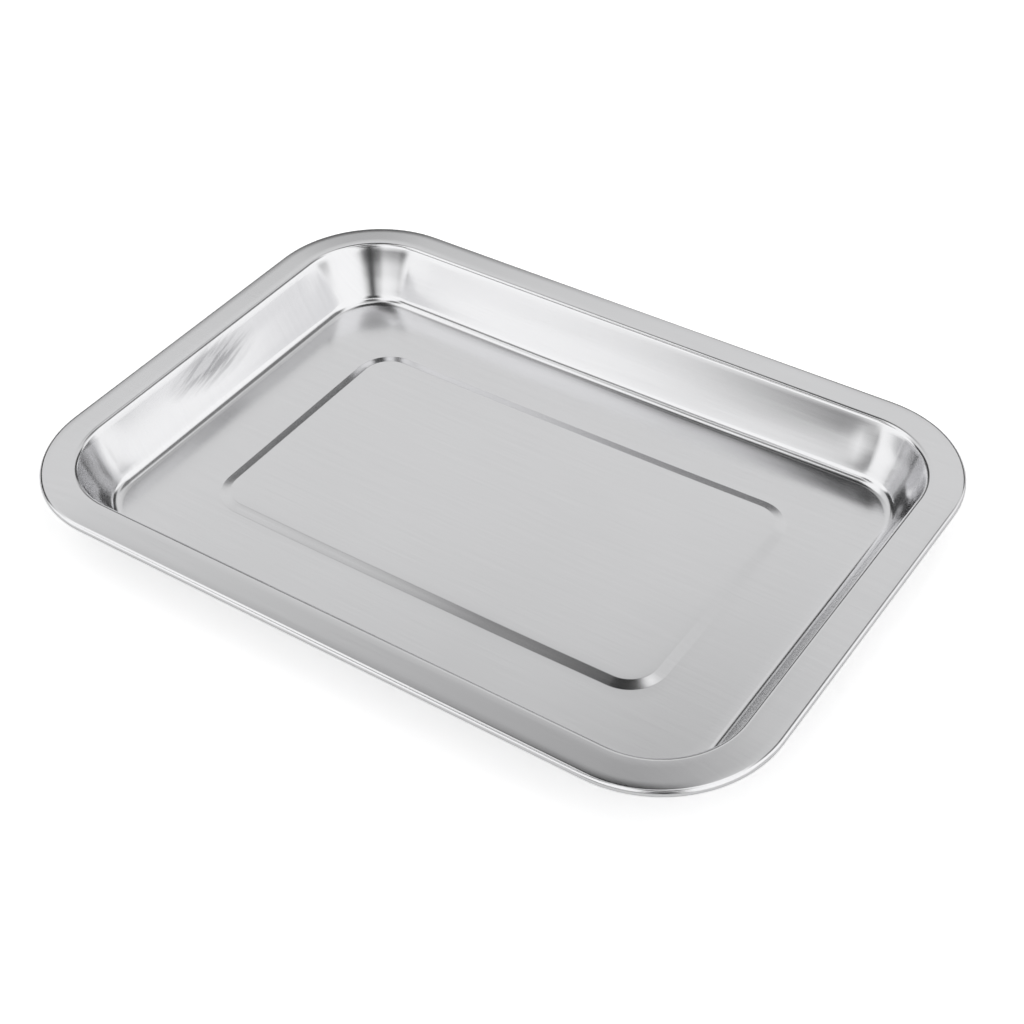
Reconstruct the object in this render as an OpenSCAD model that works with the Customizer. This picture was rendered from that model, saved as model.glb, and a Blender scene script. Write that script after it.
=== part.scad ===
// Serving tray, pressed from one steel sheet, with its outer edge rolled round a wire.
// Origin: middle of the resting face. X runs along the tray, Z points up. Millimetres.

/* [Tray] */
// Overall length over the rolled edge
tray_l = 350; // [320:1:400]
// Overall width over the rolled edge
tray_w = 250; // [230:1:300]
// Overall height from the resting face to the crest of the rim
tray_h = 27; // [20:0.5:34]
// Thickness of the steel sheet
sheet_t = 0.5; // [0.4:0.05:0.8]
// Radius of the outer corners in plan
corner_r = 52.5; // [50:0.5:60]

/* [Walls and rim] */
// Lean of the walls from vertical, in degrees
wall_lean = 24.5; // [15:0.5:26]
// Radius of the turn from floor to wall, on the inside face
heel_r = 5.5; // [3:0.1:7]
// Radius of the turn from wall to rim, on the top face
lip_r = 2.5; // [1.5:0.1:3.5]
// Width of the rim from its crest to the outer edge
rim_w = 14; // [10:0.5:16]
// Fall of the rim towards its outer edge, in degrees
rim_fall = 3; // [0.5:0.5:5]

/* [Raised panel] */
// Flat floor left between each short wall and the foot of the panel
end_border = 31.7; // [25:0.1:40]
// Flat floor left between each long wall and the foot of the panel
side_border = 29.9; // [25:0.1:40]
// Height of the panel above the floor
panel_rise = 1; // [0.6:0.1:1.5]
// Slope of the step round the panel, in degrees
step_slope = 12; // [10:1:20]
// Radius of the two soft bends of the step, at the middle of the sheet
step_bend_r = 2.5; // [1:0.1:3]
// Corner radius of the panel at its foot, in plan
panel_corner_r = 17.5; // [14:0.5:25]

/* [Rolled edge] */
// Diameter of the steel wire inside the rolled edge
wire_d = 2.6; // [2:0.1:3]
// Clearance between the wire and the sheet rolled round it
wire_clearance = 0.05; // [0.02:0.01:0.1]
// How far the sheet wraps round the wire, in degrees
curl_wrap = 290; // [240:5:300]
// Gap between the two butted ends of the wire
wire_gap = 0.8; // [0.3:0.1:2]

/* [Hidden] */
$fn = 96;

// Straight pieces that each round stretch of a section is made of
bend_steps = 7;
curl_steps = 20;
step_steps = 3;

steel_colour = [0.78, 0.78, 0.79];
wire_colour = [0.62, 0.62, 0.63];

// Height and run of the wall from the flat floor to the crest of the rim
wall_angle = 90 - wall_lean;
bends_r = heel_r + lip_r;
wall_len = (tray_h - sheet_t - bends_r * (1 - cos(wall_angle))) / sin(wall_angle);
wall_run = bends_r * sin(wall_angle) + wall_len * cos(wall_angle);

// The rolled edge: its outer radius, and the middle of the wire above the resting face
curl_r = wire_d / 2 + wire_clearance + sheet_t;
rim_len = (rim_w - curl_r - (lip_r - curl_r) * sin(rim_fall)) / cos(rim_fall);
wire_z = tray_h - lip_r + (lip_r - curl_r) * cos(rim_fall) - rim_len * sin(rim_fall);

// The flat floor, up to where the walls start to turn up
floor_corner_r = corner_r - rim_w - wall_run;
floor_half_l = tray_l / 2 - rim_w - wall_run;
floor_half_w = tray_w / 2 - rim_w - wall_run;

// The step round the raised panel
step_len = (panel_rise - 2 * step_bend_r * (1 - cos(step_slope))) / sin(step_slope);
step_run = 2 * step_bend_r * sin(step_slope) + step_len * cos(step_slope);
foot_half_l = floor_half_l - end_border;
foot_half_w = floor_half_w - side_border;
top_corner_r = panel_corner_r - step_run;

// ---- Sections of the sheet: X is the distance from the corner centre, Y is the height ----

// Points of an arc about a centre, from one angle to another
function arc(centre, r, from, to, steps) = [
    for (k = [0:steps])
        let (a = from + (to - from) * k / steps) centre + r * [cos(a), sin(a)]
];

// Wall, rim and rolled edge: the top face outwards, then the underside back to the floor
module wall_section() {
    heel = [floor_corner_r, sheet_t + heel_r];
    lip = [floor_corner_r + wall_run, tray_h - lip_r];
    curl = [corner_r - curl_r, wire_z];
    heel_end = wall_angle - 90;
    lip_start = wall_angle + 90;
    rim_normal = 90 - rim_fall;
    curl_end = rim_normal - curl_wrap;
    polygon(concat(
        arc(heel, heel_r, -90, heel_end, bend_steps),
        arc(lip, lip_r, lip_start, rim_normal, bend_steps),
        arc(curl, curl_r, rim_normal, curl_end, curl_steps),
        arc(curl, curl_r - sheet_t, curl_end, rim_normal, curl_steps),
        arc(lip, lip_r - sheet_t, rim_normal, lip_start, bend_steps),
        arc(heel, heel_r + sheet_t, heel_end, -90, bend_steps)
    ));
}

// Step down from the raised panel to the floor
module step_section() {
    mid = sheet_t / 2;
    brow = [top_corner_r, panel_rise + mid - step_bend_r];
    foot = [panel_corner_r, mid + step_bend_r];
    polygon(concat(
        arc(brow, step_bend_r + mid, 90, 90 - step_slope, step_steps),
        arc(foot, step_bend_r - mid, -90 - step_slope, -90, step_steps),
        arc(foot, step_bend_r + mid, -90, -90 - step_slope, step_steps),
        arc(brow, step_bend_r - mid, 90 - step_slope, 90, step_steps)
    ));
}

// ---- Plan shapes ----

// Rectangle with round corners, given by its half sizes
module round_plate(half_l, half_w, r) {
    square([2 * (half_l - r), 2 * half_w], center = true);
    square([2 * half_l, 2 * (half_w - r)], center = true);
    for (x = [-1, 1], y = [-1, 1])
        translate([x * (half_l - r), y * (half_w - r)]) circle(r = r);
}

// Carries a section round a rectangle whose corner centres stand at half_x and half_y.
// In the section, X is the distance from the corner centre.
module round_the_tray(half_x, half_y) {
    for (turn = [0, 180]) rotate(turn) {
        translate([half_x, half_y, 0]) rotate_extrude(angle = 90) children();
        translate([-half_x, half_y, 0]) rotate(90) rotate_extrude(angle = 90) children();
        translate([half_x, half_y, 0]) rotate([90, 0, 0]) linear_extrude(2 * half_y) children();
        rotate(90) translate([half_y, half_x, 0]) rotate([90, 0, 0])
            linear_extrude(2 * half_x) children();
    }
}

// ---- Sub-parts ----

// The pressed sheet: rolled edge, rim, walls, floor and raised panel in one piece
module tray_pan() {
    color(steel_colour) {
        round_the_tray(tray_l / 2 - corner_r, tray_w / 2 - corner_r)
            wall_section();
        linear_extrude(sheet_t) difference() {
            round_plate(floor_half_l, floor_half_w, floor_corner_r);
            round_plate(foot_half_l, foot_half_w, panel_corner_r);
        }
        round_the_tray(foot_half_l - panel_corner_r, foot_half_w - panel_corner_r)
            step_section();
        translate([0, 0, panel_rise]) linear_extrude(sheet_t)
            round_plate(foot_half_l - step_run, foot_half_w - step_run, top_corner_r);
    }
}

// The wire that stiffens the edge: one bent length whose ends butt on a long side
module rim_wire() {
    color(wire_colour) difference() {
        round_the_tray(tray_l / 2 - corner_r, tray_w / 2 - corner_r)
            translate([corner_r - curl_r, wire_z]) circle(d = wire_d);
        translate([0, curl_r - tray_w / 2, wire_z])
            cube([wire_gap, 2 * wire_d, 2 * wire_d], center = true);
    }
}

tray_pan();
rim_wire();
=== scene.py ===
from math import atan2, cos, pi, radians, sin

import bmesh
import bpy
from mathutils import Matrix, Vector, noise


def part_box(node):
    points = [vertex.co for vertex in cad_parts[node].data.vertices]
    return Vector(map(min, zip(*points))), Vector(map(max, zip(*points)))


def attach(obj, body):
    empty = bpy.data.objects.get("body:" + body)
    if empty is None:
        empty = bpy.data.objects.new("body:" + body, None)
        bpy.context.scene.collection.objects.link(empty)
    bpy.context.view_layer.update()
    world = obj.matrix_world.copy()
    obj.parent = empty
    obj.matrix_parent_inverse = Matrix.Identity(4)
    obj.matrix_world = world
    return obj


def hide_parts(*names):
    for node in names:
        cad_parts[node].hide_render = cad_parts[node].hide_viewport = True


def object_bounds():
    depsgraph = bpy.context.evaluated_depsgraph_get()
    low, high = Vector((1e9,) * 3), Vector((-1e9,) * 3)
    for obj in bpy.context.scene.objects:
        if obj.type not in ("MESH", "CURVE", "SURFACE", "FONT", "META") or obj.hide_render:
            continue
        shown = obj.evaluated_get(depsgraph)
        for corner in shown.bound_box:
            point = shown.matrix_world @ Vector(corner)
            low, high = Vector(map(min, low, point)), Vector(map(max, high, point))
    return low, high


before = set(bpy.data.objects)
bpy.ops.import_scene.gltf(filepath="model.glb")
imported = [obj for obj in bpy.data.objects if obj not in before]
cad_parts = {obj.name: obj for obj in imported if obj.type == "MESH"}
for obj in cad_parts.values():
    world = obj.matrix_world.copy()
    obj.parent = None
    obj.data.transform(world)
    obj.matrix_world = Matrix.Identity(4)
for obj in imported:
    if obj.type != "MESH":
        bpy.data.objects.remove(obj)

bl_info = {
    "name": "Stainless Serving Tray",
    "version": (1, 0, 0),
    "blender": (4, 5, 0),
    "location": "View3D > Sidebar > Tray",
    "description": "Builds a pressed steel serving tray with a wired edge, and its studio",
    "category": "Add Mesh",
}

BODY = "root"
PAN_NODE = "tray_pan"
WIRE_NODE = "rim_wire"

# Attributes: the length of sheet from the corner centre, and the place in the flat sheet
RUN = "run"
BLANK = "blank"

CAD_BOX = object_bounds()
PAN_LOW, PAN_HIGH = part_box(PAN_NODE)
WIRE_LOW, WIRE_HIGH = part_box(WIRE_NODE)
MM = 0.001

# Vertices closer than this are one
SAME_PLACE = 1e-6
# Edges that turn by more than this stay crisp
CRISP_TURN = radians(50)

# Steps along the stretches of the wall's section, and of the panel's
WALL_STEPS = 12
RIM_STEPS = 4
CURL_STEPS_PER_BEND = 3
PANEL_STEPS = 3
STEP_BEND_STEPS = 4
STEP_SLOPE_STEPS = 2
# Cuts across the flat border of the floor, and sides of the wire
FLOOR_CUTS = 6
WIRE_SIDES = 16

# Where the floor starts and stops rising towards its ends, as shares of half its length
DISH_START, DISH_END = 0.25, 0.85
# Where the dish and the ripple fade out up the wall, as shares of its height
CALM_START, CALM_END = 0.1, 0.9
# Ripples in a metre along each axis, and the layer of the noise that the floor's come from
FLOOR_WAVES = Vector((22, 22, 0))
WALL_CREASES = Vector((14, 14, 140))
WAVE_LAYER = Vector((0, 0, 0.7))

# Cells of each pattern in a metre of sheet, along the brushing and across it
HAIRLINES = (30, 2400, 1)
STREAKS = (14, 420, 1)
CLOUDS = (18, 26, 1)
SCRATCHES = (40, 420, 1)
SCRATCH_TURN = radians(76)
# Cells of each pattern in a metre of wire
SCUFFS = (900, 900, 900)
DULL_PATCHES = (60, 60, 60)
# Detail and roughness of the noise in a fine grain
FINE_GRAIN = (3, 0.6)

# How much each pattern adds to the sheet's roughness, and to how bright it is
ROUGH_STREAK, ROUGH_CLOUD, ROUGH_RUB = 0.05, 0.04, 0.12
TONE_STREAK, TONE_FINE, TONE_CLOUD = 0.4, 0.6, 0.3
# The rub mark: how far out it is fully worn, the values of its pattern that leave no scratch
# and a full one, and how much of the wear lies in scratches
RUB_CORE = 0.2
SCRATCH_NONE, SCRATCH_FULL = 0.42, 0.62
SCRATCH_SHARE = 0.6
# The wire: its roughness, what scuffs add to it, and how dark a dull patch is
WIRE_ROUGH, WIRE_SCUFF = 0.25, 0.2
WIRE_DULL = 0.8

# Colour of all light from the tent, and its brightness where the camera sees it straight
TENT_COLOUR = (0.8, 0.8, 0.8, 1)
TENT_SEEN = 1.3
# Half the width of the studio floor, in metres, and its drop below the tray
FLOOR_HALF = 30
FLOOR_DROP = 0.05 * MM
CAMERA_NEAR = 10 * MM


# ---- Settings -------------------------------------------------------------------------------


def length(label, text, default):
    """A size in metres that a user can change."""
    return bpy.props.FloatProperty(name=label, description=text, default=default, unit="LENGTH")


def angle(label, text, default):
    """An angle, given here in degrees."""
    return bpy.props.FloatProperty(
        name=label, description=text, default=radians(default), unit="ROTATION"
    )


def count(label, text, default):
    """A number of steps along a stretch of a piece."""
    return bpy.props.IntProperty(name=label, description=text, default=default, min=1)


def share(label, text, default):
    """A plain number from 0 to 1."""
    return bpy.props.FloatProperty(
        name=label, description=text, default=default, min=0.0, max=1.0
    )


def tint(label, text, default):
    """A colour, in linear values."""
    return bpy.props.FloatVectorProperty(
        name=label, description=text, default=default, subtype="COLOR", min=0.0, max=1.0
    )


class TraySizes(bpy.types.PropertyGroup):
    """Sizes of the pressed sheet and of the wire in its edge"""

    tray_l: length("Length", "Overall length over the rolled edge", PAN_HIGH.x - PAN_LOW.x)
    tray_w: length("Width", "Overall width over the rolled edge", PAN_HIGH.y - PAN_LOW.y)
    tray_h: length("Height", "Height of the crest of the rim", PAN_HIGH.z - PAN_LOW.z)
    sheet_t: length("Sheet", "Thickness of the sheet", 0.5 * MM)
    corner_r: length("Corner radius", "Radius of the outer corners in plan", 52.5 * MM)
    wall_lean: angle("Wall lean", "Lean of the walls from vertical", 24.5)
    heel_r: length("Heel radius", "Turn from floor to wall, inside face", 5.5 * MM)
    lip_r: length("Lip radius", "Turn from wall to rim, top face", 2.5 * MM)
    rim_w: length("Rim width", "From the crest of the rim to the outer edge", 14 * MM)
    rim_fall: angle("Rim fall", "Fall of the rim towards its outer edge", 3)
    end_border: length("End border", "Flat floor between a short wall and the panel", 31.7 * MM)
    side_border: length("Side border", "Flat floor between a long wall and the panel", 29.9 * MM)
    panel_rise: length("Panel rise", "Height of the raised panel above the floor", 1 * MM)
    step_slope: angle("Step slope", "Slope of the step round the panel", 12)
    step_bend_r: length("Step bend", "Radius of the step's bends, mid-sheet", 2.5 * MM)
    panel_corner_r: length("Panel corner", "Corner radius of the panel at its foot", 17.5 * MM)
    wire_d: length("Wire", "Diameter of the wire", WIRE_HIGH.z - WIRE_LOW.z)
    wire_clearance: length("Clearance", "Between the wire and the rolled sheet", 0.05 * MM)
    wire_gap: length("Wire gap", "Between the two butted ends of the wire", 0.8 * MM)
    curl_wrap: angle("Curl wrap", "How far the sheet wraps round the wire", 290)
    dish: length("Dish", "How much lower the floor's middle hangs than its ends", 0.8 * MM)
    ripple: length("Ripple", "Height of the soft ripple that pressing leaves", 0.05 * MM)
    wall_bow: length("Wall bow", "How far the walls bow outwards at half height", 0.3 * MM)
    corner_ease: length("Corner ease", "How far the walls ease into and out of a corner", 14 * MM)
    side_steps: count("Side steps", "Steps along half of a long side", 24)
    end_steps: count("End steps", "Steps along half of a short side", 14)
    corner_steps: count("Corner steps", "Steps round a corner", 24)
    bend_steps: count("Bend steps", "Steps round a bend of the section", 8)


class SteelFinish(bpy.types.PropertyGroup):
    """Colours and grain of the steel"""

    steel: tint("Steel", "Colour of the brushed sheet", (0.82, 0.82, 0.83))
    steel_dull: tint("Dull steel", "Colour in the bottom of the grain", (0.70, 0.70, 0.71))
    rubbed: tint("Rubbed steel", "Colour of the rub mark", (0.42, 0.42, 0.43))
    wire: tint("Wire", "Colour of the drawn wire", (0.60, 0.60, 0.61))
    roughness: share("Roughness", "Roughness of the brushed sheet", 0.16)
    rub_place: bpy.props.FloatVectorProperty(
        name="Rub mark",
        description="Where the rub mark lies in the flat sheet",
        default=(-0.166, -0.004, 0),
        subtype="XYZ",
        unit="LENGTH",
    )
    rub_size: bpy.props.FloatVectorProperty(
        name="Rub size",
        description="Half length and half width of the rub mark",
        default=(0.011, 0.034, 1),
        subtype="XYZ",
        unit="LENGTH",
    )
    grain_depth: length("Grain depth", "Depth of the brushed grain", 0.0003 * MM)


class StudioSettings(bpy.types.PropertyGroup):
    """The camera, the floor and the light"""

    azimuth: angle("Azimuth", "Camera's direction round the tray, 0 looks along +Y", 35.86)
    elevation: angle("Elevation", "Camera's height above the horizon", 41.62)
    roll: angle("Roll", "Turn of the camera about its own line of sight", -2.45)
    distance: length("Distance", "From the camera to the middle of the rim", 0.80074)
    aim_right: length("Aim right", "The camera's aim, to the right of the middle", 6.52 * MM)
    aim_up: length("Aim up", "The camera's aim, above the middle", -21.59 * MM)
    lens: bpy.props.FloatProperty(name="Lens", description="Focal length in mm", default=66.94)
    floor: tint("Floor", "Colour of the floor", (0.9, 0.9, 0.9))
    lift: share("Floor lift", "Glow that only the camera sees", 0.5)
    tent: bpy.props.FloatProperty(
        name="Tent", description="Brightness of the white light tent", default=1.5
    )


def sizes():
    """The tray's sizes as set in the sidebar."""
    return bpy.context.scene.tray_sizes


# ---- The section of the sheet ---------------------------------------------------------------
# A section is drawn in the plane x = 0. Its reach is the distance from the line through the
# corner centres, and it is drawn towards -Y from that line.


def verts_of(geometry):
    """The vertices in a list of mesh elements."""
    return [g for g in geometry if isinstance(g, bmesh.types.BMVert)]


def edges_of(geometry):
    """The edges in a list of mesh elements."""
    return [g for g in geometry if isinstance(g, bmesh.types.BMEdge)]


class Section:
    """A chain of vertices that grows by straight stretches and turns."""

    def __init__(self, bm, half_w, reach, height):
        self.bm = bm
        self.half_w = half_w
        self.run = bm.verts.layers.float.get(RUN) or bm.verts.layers.float.new(RUN)
        self.tip = bm.verts.new(self.place(reach, height))
        self.tip[self.run] = reach
        self.edges = []

    def place(self, reach, height):
        """The point at a reach and a height."""
        return Vector((0, -self.half_w - reach, height))

    def grow(self, tip, edge, run):
        """Takes a new tip and its edge into the chain, with the length of sheet between."""
        tip[self.run] = self.tip[self.run] + run
        self.tip = tip
        self.edges.append(edge)

    def straight(self, reach, height, steps):
        """A straight stretch to a reach and a height."""
        stride = (self.place(reach, height) - self.tip.co) / steps
        for _ in range(steps):
            made = bmesh.ops.extrude_vert_indiv(self.bm, verts=[self.tip])
            bmesh.ops.translate(self.bm, verts=made["verts"], vec=stride)
            self.grow(made["verts"][0], made["edges"][0], stride.length)

    def turn(self, reach, height, sweep, steps):
        """An arc about a centre; a positive sweep turns from outwards to upwards."""
        centre = self.place(reach, height)
        stride = abs(sweep) * (self.tip.co - centre).length / steps
        for _ in range(steps):
            made = bmesh.ops.spin(
                self.bm,
                geom=[self.tip],
                cent=centre,
                axis=(-1, 0, 0),
                angle=sweep / steps,
                steps=1,
            )
            tip = verts_of(made["geom_last"])[0]
            self.grow(tip, self.bm.edges.get((self.tip, tip)), stride)


def polar(centre, r, bearing):
    """The point at a distance and a bearing from a centre, as reach and height."""
    return centre[0] + r * cos(bearing), centre[1] + r * sin(bearing)


class Shape:
    """The values that follow from the tray's sizes."""

    def __init__(self, s):
        turns = s.heel_r + s.lip_r
        self.wall_angle = pi / 2 - s.wall_lean
        wall_len = s.tray_h - s.sheet_t - turns * (1 - cos(self.wall_angle))
        wall_len /= sin(self.wall_angle)
        wall_run = turns * sin(self.wall_angle) + wall_len * cos(self.wall_angle)
        self.curl_r = s.wire_d / 2 + s.wire_clearance + s.sheet_t
        self.rim_normal = pi / 2 - s.rim_fall
        fall = (s.lip_r - self.curl_r) * sin(s.rim_fall)
        rim_len = (s.rim_w - self.curl_r - fall) / cos(s.rim_fall)
        drop = (s.lip_r - self.curl_r) * cos(s.rim_fall) - rim_len * sin(s.rim_fall)
        self.wire_z = s.tray_h - s.lip_r + drop
        self.floor_r = s.corner_r - s.rim_w - wall_run
        self.lip_r = self.floor_r + wall_run
        self.half_l = s.tray_l / 2 - s.corner_r
        self.half_w = s.tray_w / 2 - s.corner_r
        step_len = s.panel_rise - 2 * s.step_bend_r * (1 - cos(s.step_slope))
        step_len /= sin(s.step_slope)
        step_run = 2 * s.step_bend_r * sin(s.step_slope) + step_len * cos(s.step_slope)
        self.brow_r = s.panel_corner_r - step_run
        foot_half_l = self.half_l + self.floor_r - s.end_border
        foot_half_w = self.half_w + self.floor_r - s.side_border
        self.panel_half_l = foot_half_l - s.panel_corner_r
        self.panel_half_w = foot_half_w - s.panel_corner_r


def draw_wall(bm, s, shape):
    """Heel, wall, lip, rim and rolled edge, along the top face of the sheet."""
    heel = (shape.floor_r, s.sheet_t + s.heel_r)
    lip = (shape.lip_r, s.tray_h - s.lip_r)
    curl = (s.corner_r - shape.curl_r, shape.wire_z)
    section = Section(bm, shape.half_w, shape.floor_r, s.sheet_t)
    section.turn(*heel, shape.wall_angle, s.bend_steps)
    section.straight(*polar(lip, s.lip_r, shape.wall_angle + pi / 2), WALL_STEPS)
    section.turn(*lip, -(shape.wall_angle + s.rim_fall), s.bend_steps)
    section.straight(*polar(curl, shape.curl_r, shape.rim_normal), RIM_STEPS)
    section.turn(*curl, -s.curl_wrap, CURL_STEPS_PER_BEND * s.bend_steps)
    return section


def draw_panel(bm, s, shape):
    """The raised panel from its corner centre, and the step down to the floor."""
    mid = s.sheet_t / 2
    brow = (shape.brow_r, s.panel_rise + mid - s.step_bend_r)
    foot = (s.panel_corner_r, mid + s.step_bend_r)
    section = Section(bm, shape.panel_half_w, 0, s.sheet_t + s.panel_rise)
    section.straight(shape.brow_r, s.sheet_t + s.panel_rise, PANEL_STEPS)
    section.turn(*brow, -s.step_slope, STEP_BEND_STEPS)
    slope_end = polar(foot, s.step_bend_r - mid, -pi / 2 - s.step_slope)
    section.straight(*slope_end, STEP_SLOPE_STEPS)
    section.turn(*foot, s.step_slope, STEP_BEND_STEPS)
    return section


# ---- Carrying a section round the tray ------------------------------------------------------


def sweep_straight(bm, edges, vec, steps):
    """Extrudes edges along a vector in equal steps and returns the last ones."""
    stride = Vector(vec) / steps
    for _ in range(steps):
        made = bmesh.ops.extrude_edge_only(bm, edges=edges)["geom"]
        ends = verts_of(made)
        bmesh.ops.translate(bm, verts=ends, vec=stride)
        edges = [e for e in edges_of(made) if set(ends).issuperset(e.verts)]
    return edges


def sweep_corner(bm, edges, centre, steps):
    """Spins edges a quarter turn about an upright line and returns the last ones."""
    geometry = list(dict.fromkeys(v for e in edges for v in e.verts)) + list(edges)
    made = bmesh.ops.spin(
        bm, geom=geometry, cent=centre, axis=(0, 0, 1), angle=pi / 2, steps=steps
    )
    return edges_of(made["geom_last"])


def carry_half_round(bm, edges, half_l, half_w, start_x, s):
    """Carries a section from the middle of the -Y side round +X to the middle of the +Y side."""
    edges = sweep_straight(bm, edges, (half_l - start_x, 0, 0), s.side_steps)
    edges = sweep_corner(bm, edges, (half_l, -half_w, 0), s.corner_steps)
    edges = sweep_straight(bm, edges, (0, 2 * half_w, 0), 2 * s.end_steps)
    edges = sweep_corner(bm, edges, (half_l, half_w, 0), s.corner_steps)
    return sweep_straight(bm, edges, (-half_l, 0, 0), s.side_steps)


def mirror_half(bm):
    """Adds the other half, on the -X side, and joins the two."""
    everything = bm.verts[:] + bm.edges[:] + bm.faces[:]
    bmesh.ops.mirror(bm, geom=everything, merge_dist=SAME_PLACE, axis="X")
    bmesh.ops.remove_doubles(bm, verts=bm.verts[:], dist=SAME_PLACE)


def build_object(name, bm, material):
    """Turns a finished mesh into an object with its material."""
    mesh = bpy.data.meshes.new(name)
    bm.to_mesh(mesh)
    bm.free()
    mesh.materials.append(material)
    piece = bpy.data.objects.new(name, mesh)
    bpy.context.scene.collection.objects.link(piece)
    return piece


# ---- Shaping the pan ------------------------------------------------------------------------


def fill_panel_middle(bm, s, shape):
    """The flat middle of the raised panel, inside the line of its corner centres."""
    top = s.sheet_t + s.panel_rise

    def on_line(v):
        level = abs(v.co.z - top) < SAME_PLACE
        inside = v.co.x < shape.panel_half_l + SAME_PLACE
        return level and inside and abs(v.co.y + shape.panel_half_w) < SAME_PLACE

    line = [
        e
        for e in bm.edges
        if all(on_line(v) for v in e.verts)
        and abs(e.verts[0].co.x - e.verts[1].co.x) > SAME_PLACE
    ]
    sweep_straight(bm, line, (0, 2 * shape.panel_half_w, 0), 2 * s.end_steps)


def bridge_floor(bm, s):
    """The flat border of the floor, from the foot of the panel to the foot of the walls."""
    rims = [
        e
        for e in bm.edges
        if len(e.link_faces) == 1
        and all(abs(v.co.z - s.sheet_t) < SAME_PLACE for v in e.verts)
    ]
    made = bmesh.ops.bridge_loops(bm, edges=rims)
    known = set(rims)
    across = [e for e in made["edges"] if e not in known]
    bmesh.ops.subdivide_edges(bm, edges=across, cuts=FLOOR_CUTS, use_grid_fill=True)


def outwards(v, shape):
    """The nearest point on the rectangle of the corner centres, and the way out from it."""
    corner = Vector(
        (
            max(-shape.half_l, min(shape.half_l, v.co.x)),
            max(-shape.half_w, min(shape.half_w, v.co.y)),
        )
    )
    return corner, v.co.xy - corner


def lay_out_blank(bm, shape):
    """Stores where each point lay in the flat sheet, so that the grain follows the metal."""
    run = bm.verts.layers.float.get(RUN)
    blank = bm.verts.layers.float_vector.new(BLANK)
    for v in bm.verts:
        corner, out = outwards(v, shape)
        if out.length > shape.floor_r + SAME_PLACE:
            v[blank] = (corner + out.normalized() * v[run]).to_3d()
        else:
            v[blank] = v.co.xy.to_3d()


def smooth_step(low, high, x):
    """0 below low, 1 above high, and a smooth rise between."""
    t = max(0.0, min(1.0, (x - low) / (high - low)))
    return t * t * (3 - 2 * t)


def corner_easing(corner, out, ease, shape):
    """How far inwards a wall lies where it eases from straight to round.

    It follows the transition curve x^3 / (6 r l), with half its length l on either side.
    """
    x, y = abs(out.x), abs(out.y)
    past_long_side = out.length * atan2(x, y) - (shape.half_l - abs(corner.x))
    past_short_side = out.length * atan2(y, x) - (shape.half_w - abs(corner.y))
    past = min(abs(past_long_side), abs(past_short_side))
    return max(0.0, ease - past) ** 3 / (6 * out.length * 2 * ease)


def settle_sheet(bm, s, shape):
    """The soft dish, bow and ripple that the sheet keeps after pressing. The rim stays true."""
    bmesh.ops.recalc_face_normals(bm, faces=bm.faces[:])
    bm.normal_update()
    heel_z = s.sheet_t + s.heel_r * (1 - cos(shape.wall_angle))
    lip_z = s.tray_h - s.lip_r * (1 - cos(shape.wall_angle))
    for v in bm.verts:
        outward = v.normal * (-1 if v.normal.z > 0 else 1)
        up_wall = (v.co.z - heel_z) / (lip_z - heel_z)
        height = (v.co.z - s.sheet_t) / (s.tray_h - s.sheet_t)
        below_rim = 1 - smooth_step(CALM_START, CALM_END, height)
        along = abs(v.co.x) / (shape.half_l + shape.floor_r)
        lift = s.dish * smooth_step(DISH_START, DISH_END, along)
        wave = 0.5 + 0.5 * noise.noise(v.co * FLOOR_WAVES + WAVE_LAYER)
        corner, out = outwards(v, shape)
        if 0 < up_wall < 1 and shape.floor_r < out.length < shape.lip_r:
            crease = noise.noise(v.co * WALL_CREASES)
            bow = s.wall_bow + s.ripple * crease
            bow -= corner_easing(corner, out, s.corner_ease, shape)
            v.co += outward * sin(pi * up_wall) * bow
        v.co.z += below_rim * (lift + s.ripple * wave)


def thicken(bm, s):
    """Gives the skin the sheet's thickness, downwards from its top face."""
    bmesh.ops.recalc_face_normals(bm, faces=bm.faces[:])
    middle = min(bm.faces, key=lambda f: f.calc_center_median().xy.length)
    if middle.normal.z < 0:
        bmesh.ops.reverse_faces(bm, faces=bm.faces[:])
    bmesh.ops.solidify(bm, geom=bm.faces[:], thickness=s.sheet_t)


def smooth_faces(bm):
    """Shades every face smooth, and keeps the edges that turn sharply crisp."""
    for f in bm.faces:
        f.smooth = True
    for e in bm.edges:
        e.smooth = len(e.link_faces) == 2 and e.calc_face_angle() < CRISP_TURN


# ---- Finishes -------------------------------------------------------------------------------


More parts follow.
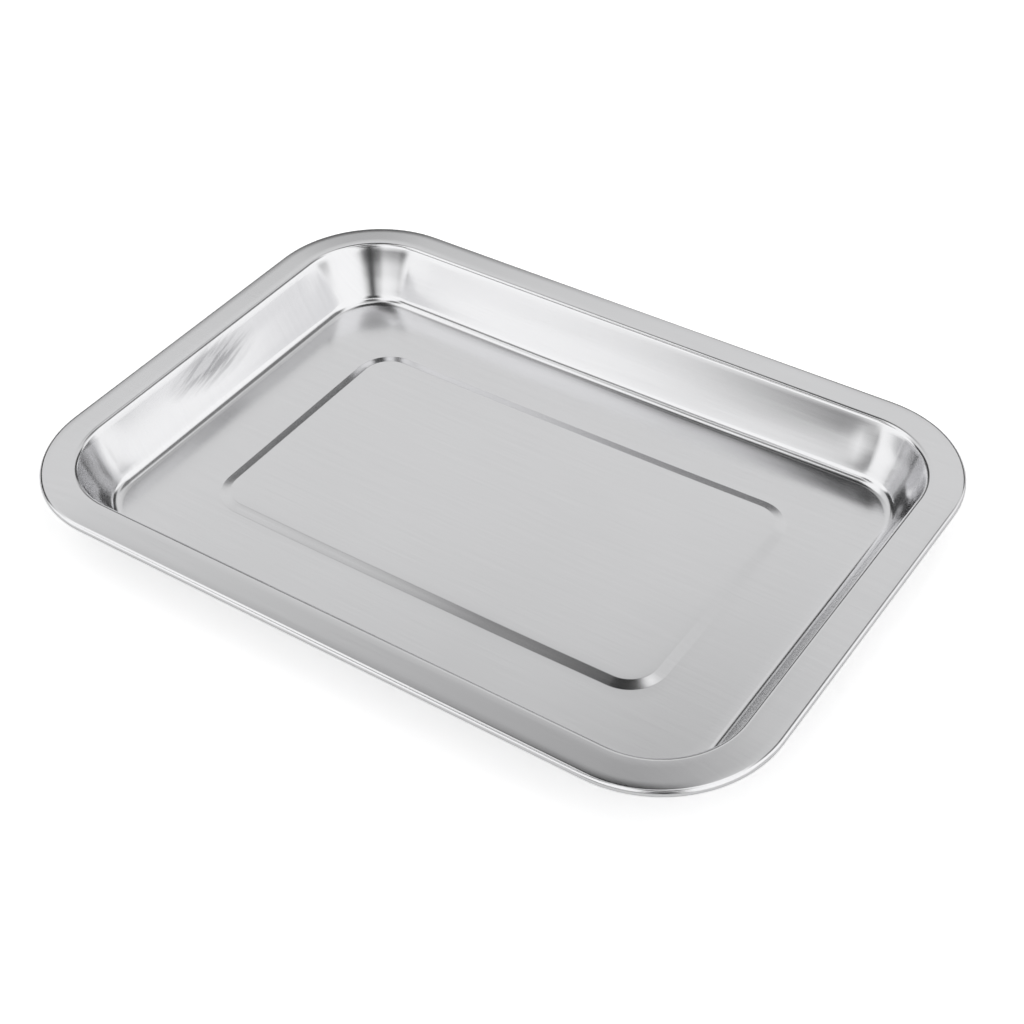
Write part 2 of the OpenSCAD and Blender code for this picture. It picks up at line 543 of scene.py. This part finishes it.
class Nodes:
    """A short way to build a node tree."""

    def __init__(self, tree):
        self.tree = tree
        tree.nodes.clear()

    def add(self, kind, inputs=None, **settings):
        """Adds a node. An input is a value, or a socket of another node to link to."""
        node = self.tree.nodes.new(kind)
        for key, value in settings.items():
            setattr(node, key, value)
        for key, value in (inputs or {}).items():
            if isinstance(value, bpy.types.NodeSocket):
                self.tree.links.new(value, node.inputs[key])
            else:
                node.inputs[key].default_value = value
        return node

    def math(self, operation, a, b=0.0, c=0.0):
        """A math node's result."""
        return self.add("ShaderNodeMath", {0: a, 1: b, 2: c}, operation=operation).outputs[0]

    def dot(self, vector, axis):
        """How far a vector reaches along a fixed axis."""
        node = self.add("ShaderNodeVectorMath", {0: vector, 1: axis}, operation="DOT_PRODUCT")
        return node.outputs["Value"]

    def fade(self, value, start, end):
        """1 at a start, 0 at an end, and smooth between. The end may lie below the start."""
        inputs = {"Value": value, "From Min": start, "From Max": end}
        inputs.update({"To Min": 1.0, "To Max": 0.0})
        node = self.add("ShaderNodeMapRange", inputs, interpolation_type="SMOOTHSTEP")
        return node.outputs["Result"]

    def noise(self, vector, cells, detail=2.0, rough=0.5):
        """Noise from about 0 to 1, with a number of cells in a metre along each axis."""
        place = self.add("ShaderNodeMapping", {"Vector": vector, "Scale": cells}).outputs[0]
        inputs = {"Vector": place, "Scale": 1.0, "Detail": detail, "Roughness": rough}
        return self.add("ShaderNodeTexNoise", inputs).outputs["Fac"]

    def add_up(self, total, *parts):
        """A plain number, and a share of each of some sockets."""
        for socket, weight in parts:
            total = self.math("MULTIPLY_ADD", socket, weight, total)
        return total

    def mix(self, share_of_b, a, b):
        """A blend of two colours, each a plain colour or a socket."""
        inputs = {"Factor": share_of_b}
        for key, colour in (("A", a), ("B", b)):
            inputs[key] = colour if isinstance(colour, bpy.types.NodeSocket) else (*colour, 1)
        return self.add("ShaderNodeMix", inputs, data_type="RGBA").outputs["Result"]


def new_material(name):
    """An empty material with nodes."""
    material = bpy.data.materials.new(name)
    material.use_nodes = True
    return material, Nodes(material.node_tree)


def rub_mark(n, flat, f):
    """A patch of coarse scratches on a short wall, where stacked trays rub."""
    away = n.add("ShaderNodeVectorMath", {0: flat, 1: f.rub_place}, operation="SUBTRACT")
    span = n.add(
        "ShaderNodeVectorMath", {0: away.outputs[0], 1: f.rub_size}, operation="DIVIDE"
    )
    far = n.add("ShaderNodeVectorMath", {0: span.outputs[0]}, operation="LENGTH")
    patch = n.fade(far.outputs["Value"], RUB_CORE, 1.0)
    turned = n.add("ShaderNodeMapping", {"Vector": flat, "Rotation": (0, 0, SCRATCH_TURN)})
    scratch = n.noise(turned.outputs[0], SCRATCHES)
    scratched = n.fade(scratch, SCRATCH_FULL, SCRATCH_NONE)
    worn = n.add_up(1 - SCRATCH_SHARE, (scratched, SCRATCH_SHARE))
    return n.math("MULTIPLY", patch, worn)


def finish_steel(n, colour, rough, grain, depth):
    """Ends a steel's node tree, with a grain of a set depth."""
    bump = n.add("ShaderNodeBump", {"Height": grain, "Distance": depth, "Strength": 1.0})
    steel = n.add(
        "ShaderNodeBsdfPrincipled",
        {
            "Base Color": colour,
            "Metallic": 1.0,
            "Roughness": rough,
            "Normal": bump.outputs["Normal"],
        },
    )
    n.add("ShaderNodeOutputMaterial", {"Surface": steel.outputs[0]})


def brushed_sheet(f):
    """Satin stainless sheet, brushed along the tray before it was pressed."""
    material, n = new_material("brushed_sheet")
    flat = n.add("ShaderNodeAttribute", attribute_name=BLANK).outputs["Vector"]
    fine = n.noise(flat, HAIRLINES, *FINE_GRAIN)
    streak = n.noise(flat, STREAKS, *FINE_GRAIN)
    cloud = n.noise(flat, CLOUDS)
    rub = rub_mark(n, flat, f)
    rough = n.add_up(
        f.roughness - (ROUGH_STREAK + ROUGH_CLOUD) / 2,
        (streak, ROUGH_STREAK),
        (cloud, ROUGH_CLOUD),
        (rub, ROUGH_RUB),
    )
    bright = n.add_up(
        0.5 - (TONE_STREAK + TONE_FINE + TONE_CLOUD) / 2,
        (streak, TONE_STREAK),
        (fine, TONE_FINE),
        (cloud, TONE_CLOUD),
    )
    colour = n.mix(rub, n.mix(bright, f.steel_dull, f.steel), f.rubbed)
    finish_steel(n, colour, rough, fine, f.grain_depth)
    return material


def drawn_wire(f):
    """Plain drawn steel wire, a little dull, with fine scuffs."""
    material, n = new_material("drawn_wire")
    place = n.add("ShaderNodeTexCoord").outputs["Object"]
    scuff = n.noise(place, SCUFFS, *FINE_GRAIN)
    dull = n.noise(place, DULL_PATCHES)
    colour = n.mix(dull, [WIRE_DULL * c for c in f.wire], f.wire)
    finish_steel(n, colour, n.add_up(WIRE_ROUGH, (scuff, WIRE_SCUFF)), scuff, f.grain_depth)
    return material


def matt_floor(settings):
    """Pale matt floor, with a glow that the camera sees and the steel doesn't reflect."""
    material, n = new_material("matt_floor")
    straight = n.add("ShaderNodeLightPath").outputs["Is Camera Ray"]
    paint = n.add(
        "ShaderNodeBsdfPrincipled",
        {
            "Base Color": (*settings.floor, 1),
            "Roughness": 1.0,
            "Specular IOR Level": 0.0,
            "Emission Color": (1, 1, 1, 1),
            "Emission Strength": n.math("MULTIPLY", straight, settings.lift),
        },
    )
    n.add("ShaderNodeOutputMaterial", {"Surface": paint.outputs[0]})
    return material


# ---- Studio ---------------------------------------------------------------------------------


def towards(azimuth, elevation):
    """The way to a point round the tray. Azimuth 0 is the -Y side, and a quarter turn is +X."""
    level = cos(elevation)
    return Vector((sin(azimuth) * level, -cos(azimuth) * level, sin(elevation)))


def level_side(azimuth):
    """The level way at right angles to an azimuth, towards a greater azimuth."""
    return Vector((cos(azimuth), sin(azimuth), 0))


def soft_panel(n, ray, azimuth, elevation, half_w, half_h, soft):
    """How much of a soft-edged rectangular panel a ray sees. Sizes are half angles."""
    middle = towards(azimuth, elevation)
    side = level_side(azimuth)
    seen = n.math("GREATER_THAN", n.dot(ray, middle), 0.0)
    for axis, half in ((side, half_w), (middle.cross(side), half_h)):
        across = n.math("ABSOLUTE", n.dot(ray, axis))
        seen = n.math("MULTIPLY", n.fade(across, sin(half - soft), sin(half + soft)), seen)
    return seen


def soft_disc(n, ray, azimuth, elevation, half, soft):
    """How much of a soft-edged round panel a ray sees. Sizes are half angles."""
    ahead = n.math("MULTIPLY", n.dot(ray, towards(azimuth, elevation)), -1.0)
    return n.fade(ahead, -cos(half - soft), -cos(half + soft))


# What stands round the tray, in degrees: a shape, its azimuth and elevation, its half sizes and
# the softness of its edge, then its brightness. Later ones lie over earlier ones.
SURROUNDINGS = (
    # The large diffuser on the far side, its left corner and its dim top edge
    (soft_panel, (216, 41, 58, 18, 2), 1.02),
    (soft_panel, (182, 52, 8, 8, 4), 0.93),
    (soft_panel, (222, 57, 14, 9, 7), 0.60),
    # The grey bench that it stands on
    (soft_panel, (216, 10, 28, 14, 3), 0.62),
    # Dark gaps to the left of the diffuser and under it
    (soft_panel, (154, 50, 12, 11, 3), 0.25),
    (soft_panel, (224, 19, 13, 7, 4), 0.06),
    (soft_panel, (180, 14, 20, 12, 3), 0.08),
    # A pale spot low on the left, then the dark gap to the right
    (soft_panel, (142, 2, 9, 8, 4), 0.90),
    (soft_panel, (262, 15, 24, 13, 3), 0.06),
    # A low grey band on the near side, with a dark spot in it
    (soft_panel, (14, 2, 34, 10, 7), 0.40),
    (soft_disc, (347, 3, 6, 4), 0.15),
    # A dark strip that the lip and the heel of the +Y wall reflect
    (soft_panel, (322, 42, 8, 6, 3), 0.20),
    # A grey spot that the -X wall reflects
    (soft_panel, (108, 1, 8, 6, 5), 0.45),
    # Dark and grey patches overhead, seen in the panel's step and at the foot of the walls
    (soft_disc, (224, 69, 11, 3), 0.02),
    (soft_disc, (322, 63, 8, 4), 0.15),
    (soft_disc, (36, 80, 10, 7), 0.65),
    (soft_disc, (40, 66, 10, 3), 0.04),
    (soft_disc, (264, 77, 7, 3), 0.04),
    # The camera on its stand: the foot, the neck, the camera and the column
    (soft_panel, (25, 3, 30, 6, 5), 0.25),
    (soft_panel, (34, 12, 14, 6, 5), 0.20),
    (soft_panel, (36, 36, 12, 12, 5), 0.05),
    (soft_panel, (36, 25, 5, 22, 5), 0.04),
)


def light_tent(settings):
    """The world: a white tent and what stands in it. Straight on, the camera sees plain white."""
    world = bpy.data.worlds.new("light_tent")
    world.use_nodes = True
    n = Nodes(world.node_tree)
    ray = n.add("ShaderNodeTexCoord").outputs["Generated"]
    level = settings.tent
    for shape, place, brightness in SURROUNDINGS:
        seen = shape(n, ray, *(radians(part) for part in place))
        shift = n.math("SUBTRACT", brightness, level)
        level = n.math("MULTIPLY_ADD", seen, shift, level)
    straight = n.add("ShaderNodeLightPath").outputs["Is Camera Ray"]
    shift = n.math("SUBTRACT", TENT_SEEN, level)
    level = n.math("MULTIPLY_ADD", straight, shift, level)
    light = n.add("ShaderNodeBackground", {"Color": TENT_COLOUR, "Strength": level})
    n.add("ShaderNodeOutputWorld", {"Surface": light.outputs[0]})
    bpy.context.scene.world = world


def place_camera(settings):
    """The camera, aimed at the middle of the rim's crest, as set in the sidebar."""
    r = settings.roll
    back = towards(settings.azimuth, settings.elevation)
    side = level_side(settings.azimuth)
    up = back.cross(side)
    right = cos(r) * side + sin(r) * up
    above = -sin(r) * side + cos(r) * up
    aim = Vector((0, 0, CAD_BOX[1].z))
    spot = aim + back * settings.distance + right * settings.aim_right + above * settings.aim_up
    camera = bpy.data.objects.new("camera", bpy.data.cameras.new("camera"))
    camera.data.lens = settings.lens
    camera.data.clip_start = CAMERA_NEAR
    turn = Matrix((right, above, back)).transposed()
    camera.matrix_world = Matrix.Translation(spot) @ turn.to_4x4()
    bpy.context.scene.collection.objects.link(camera)
    bpy.context.scene.camera = camera


# ---- Operators ------------------------------------------------------------------------------


class TRAY_OT_stage(bpy.types.Operator):
    """Set up the floor, the light tent and the camera"""

    bl_idname = "tray.stage"
    bl_label = "Stage"

    def execute(self, context):
        settings = context.scene.tray_studio
        bm = bmesh.new()
        bmesh.ops.create_grid(bm, x_segments=1, y_segments=1, size=FLOOR_HALF)
        bmesh.ops.translate(bm, verts=bm.verts[:], vec=(0, 0, CAD_BOX[0].z - FLOOR_DROP))
        build_object("floor", bm, matt_floor(settings))
        light_tent(settings)
        place_camera(settings)
        context.scene.view_settings.view_transform = "Standard"
        return {"FINISHED"}


class TRAY_OT_pan(bpy.types.Operator):
    """Press the pan: floor, raised panel, walls, rim and rolled edge in one sheet"""

    bl_idname = "tray.pan"
    bl_label = "Pan"

    def execute(self, context):
        s = sizes()
        shape = Shape(s)
        bm = bmesh.new()
        wall = draw_wall(bm, s, shape)
        carry_half_round(bm, wall.edges, shape.half_l, shape.half_w, 0, s)
        panel = draw_panel(bm, s, shape)
        carry_half_round(bm, panel.edges, shape.panel_half_l, shape.panel_half_w, 0, s)
        fill_panel_middle(bm, s, shape)
        mirror_half(bm)
        bridge_floor(bm, s)
        bmesh.ops.remove_doubles(bm, verts=bm.verts[:], dist=SAME_PLACE)
        lay_out_blank(bm, shape)
        settle_sheet(bm, s, shape)
        thicken(bm, s)
        smooth_faces(bm)
        piece = build_object("pressed_pan", bm, brushed_sheet(context.scene.tray_finish))
        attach(piece, BODY)
        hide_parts(PAN_NODE)
        return {"FINISHED"}


class TRAY_OT_wire(bpy.types.Operator):
    """Bend the wire that stiffens the edge, with its two ends butted on a long side"""

    bl_idname = "tray.wire"
    bl_label = "Edge wire"

    def execute(self, context):
        s = sizes()
        shape = Shape(s)
        start = s.wire_gap / 2
        bm = bmesh.new()
        made = bmesh.ops.create_circle(bm, segments=WIRE_SIDES, radius=s.wire_d / 2)
        bmesh.ops.rotate(bm, verts=made["verts"], matrix=Matrix.Rotation(pi / 2, 3, "Y"))
        centre = (start, -shape.half_w - s.corner_r + shape.curl_r, shape.wire_z)
        bmesh.ops.translate(bm, verts=made["verts"], vec=centre)
        carry_half_round(bm, bm.edges[:], shape.half_l, shape.half_w, start, s)
        mirror_half(bm)
        bmesh.ops.holes_fill(bm, edges=[e for e in bm.edges if len(e.link_faces) == 1])
        bmesh.ops.recalc_face_normals(bm, faces=bm.faces[:])
        smooth_faces(bm)
        piece = build_object("edge_wire", bm, drawn_wire(context.scene.tray_finish))
        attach(piece, BODY)
        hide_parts(WIRE_NODE)
        return {"FINISHED"}


class TRAY_PT_sidebar(bpy.types.Panel):
    """The tray's pieces and its stage"""

    bl_label = "Serving tray"
    bl_space_type = "VIEW_3D"
    bl_region_type = "UI"
    bl_category = "Tray"

    def draw(self, context):
        for operator in OPERATORS:
            self.layout.operator(operator.bl_idname)
        scene = context.scene
        for group in (scene.tray_sizes, scene.tray_finish, scene.tray_studio):
            for name in group.bl_rna.properties.keys():
                if name not in {"rna_type", "name"}:
                    self.layout.prop(group, name)


OPERATORS = (TRAY_OT_stage, TRAY_OT_pan, TRAY_OT_wire)
CLASSES = (TraySizes, SteelFinish, StudioSettings, *OPERATORS, TRAY_PT_sidebar)


def register():
    """Registers the classes and hangs the settings on the scene."""
    for cls in CLASSES:
        bpy.utils.register_class(cls)
    bpy.types.Scene.tray_sizes = bpy.props.PointerProperty(type=TraySizes)
    bpy.types.Scene.tray_finish = bpy.props.PointerProperty(type=SteelFinish)
    bpy.types.Scene.tray_studio = bpy.props.PointerProperty(type=StudioSettings)


def unregister():
    """Takes the settings and the classes away again."""
    del bpy.types.Scene.tray_studio
    del bpy.types.Scene.tray_finish
    del bpy.types.Scene.tray_sizes
    for cls in reversed(CLASSES):
        bpy.utils.unregister_class(cls)


def main():
    register()
    bpy.ops.tray.stage()
    bpy.ops.tray.pan()
    bpy.ops.tray.wire()


if __name__ == "__main__":
    main()
